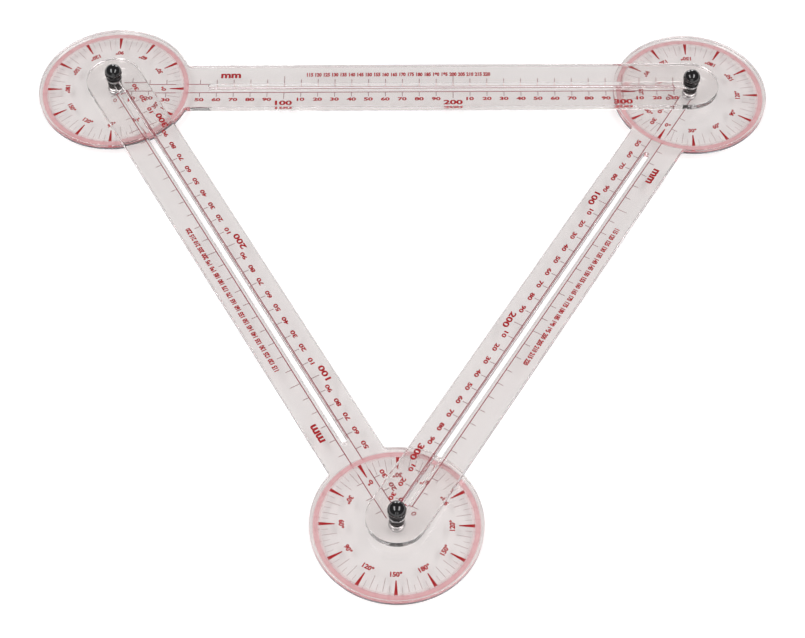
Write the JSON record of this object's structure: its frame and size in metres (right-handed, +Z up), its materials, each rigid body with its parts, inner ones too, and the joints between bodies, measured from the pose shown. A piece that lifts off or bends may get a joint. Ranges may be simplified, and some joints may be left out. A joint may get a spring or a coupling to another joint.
{
  "type": "articulated triangle",
  "caption": "Adjustable triangle of clear slotted rulers, each with a protractor disc, joined at the corners by clamp studs with black ball knobs.",
  "frame": {"origin": "middle of the triangle's outline, on the surface its three screw heads stand on", "axes": "+X along the top ruler, from the left corner to the right corner; +Y from the bottom corner towards the top ruler; +Z up, towards the knobs"},
  "size_m": [0.4304, 0.3848, 0.0245],
  "materials": {
    "clear_acrylic": "polished, clear",
    "knob_plastic": "gloss black",
    "bush_plastic": "black",
    "screw_steel": "bright zinc",
    "washer_steel": "bright zinc",
    "insert_brass": "machined"
  },
  "bodies": {
    "left_arm": {"left_ruler": "clear_acrylic"},
    "top_arm": {"top_ruler": "clear_acrylic"},
    "right_arm": {"right_ruler": "clear_acrylic", "right_clamp_screw": "screw_steel", "right_head_washer": "washer_steel", "right_bush": "bush_plastic", "right_clamp_washer": "washer_steel"},
    "bottom_stud": {"bottom_clamp_screw": "screw_steel", "bottom_head_washer": "washer_steel", "bottom_bush": "bush_plastic", "bottom_clamp_washer": "washer_steel"},
    "left_stud": {"left_clamp_screw": "screw_steel", "left_head_washer": "washer_steel", "left_bush": "bush_plastic", "left_clamp_washer": "washer_steel"},
    "bottom_knob_turn": {"bottom_knob": "knob_plastic", "bottom_knob_insert": "insert_brass"},
    "left_knob_turn": {"left_knob": "knob_plastic", "left_knob_insert": "insert_brass"},
    "right_knob_turn": {"right_knob": "knob_plastic", "right_knob_insert": "insert_brass"}
  },
  "joints": [
    {"name": "bottom_fold", "type": "hinge", "parent": "left_arm", "child": "bottom_stud", "pos_m": [0, -0.14719, 0.0051], "axis": [-0.0206, 0, 0.9998], "range_deg": [0, 28]},
    {"name": "right_draw", "type": "slide", "parent": "bottom_stud", "child": "right_arm", "axis": [-0.4999, -0.8658, 0.0206], "range_m": [0, 0.018]},
    {"name": "left_draw", "type": "slide", "parent": "left_arm", "child": "left_stud", "axis": [0.4999, -0.8658, -0.0206], "range_m": [0, 0.018]},
    {"name": "left_fold", "type": "hinge", "parent": "left_stud", "child": "top_arm", "pos_m": [-0.16996, 0.14719, 0.0051], "axis": [-0.0206, 0, 0.9998], "range_deg": [0, 14]},
    {"name": "bottom_turn", "type": "hinge", "parent": "bottom_stud", "child": "bottom_knob_turn", "pos_m": [0, -0.14719, 0.01522], "axis": [0, 0, 1], "range_deg": [0, 360]},
    {"name": "left_turn", "type": "hinge", "parent": "left_stud", "child": "left_knob_turn", "pos_m": [-0.16996, 0.14719, 0.01522], "axis": [0, 0, 1], "range_deg": [0, 360]},
    {"name": "right_turn", "type": "hinge", "parent": "right_arm", "child": "right_knob_turn", "pos_m": [0.16996, 0.14719, 0.01522], "axis": [0, 0, 1], "range_deg": [0, 360]}
  ],
  "couplings": [
    {"joint": "left_fold", "follows": "bottom_fold", "ratio": 0.5},
    {"joint": "left_draw", "follows": "right_draw", "ratio": 1}
  ]
}
